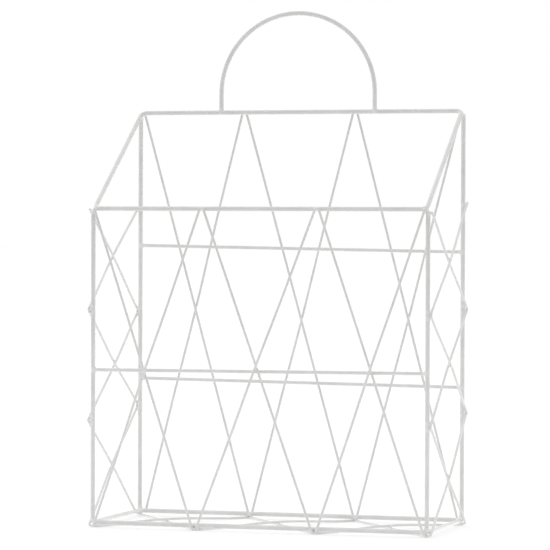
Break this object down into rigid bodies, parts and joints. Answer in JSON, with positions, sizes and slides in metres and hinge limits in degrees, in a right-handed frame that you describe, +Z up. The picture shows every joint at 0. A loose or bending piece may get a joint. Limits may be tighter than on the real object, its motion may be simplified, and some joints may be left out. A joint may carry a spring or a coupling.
{
  "type": "magazine basket",
  "caption": "Open welded wire magazine basket with a slanted top, a taller back, crossed zigzag panels and a half-round carrying handle.",
  "frame": {"origin": "middle of the basket's footprint, on the surface it stands on", "axes": "+Z up along the basket's height, +X along its width towards its right side seen from the front, +Y from the low front to the tall back"},
  "size_m": [0.312, 0.138, 0.4546],
  "materials": {
    "powder_coated_wire": "satin white powder coat on steel wire"
  },
  "bodies": {
    "root": {"bottom_rim": "powder_coated_wire", "top_rim": "powder_coated_wire", "back_left_upright": "powder_coated_wire", "back_right_upright": "powder_coated_wire", "front_left_upright": "powder_coated_wire", "front_right_upright": "powder_coated_wire", "back_upper_rail": "powder_coated_wire", "back_lower_rail": "powder_coated_wire", "front_middle_rail": "powder_coated_wire", "carry_handle": "powder_coated_wire", "front_zigzag_first": "powder_coated_wire", "front_zigzag_second": "powder_coated_wire", "back_zigzag_first": "powder_coated_wire", "back_zigzag_second": "powder_coated_wire", "left_zigzag_first": "powder_coated_wire", "left_zigzag_second": "powder_coated_wire", "right_zigzag_first": "powder_coated_wire", "right_zigzag_second": "powder_coated_wire", "base_zigzag_first": "powder_coated_wire", "base_zigzag_second": "powder_coated_wire"}
  },
  "joints": []
}
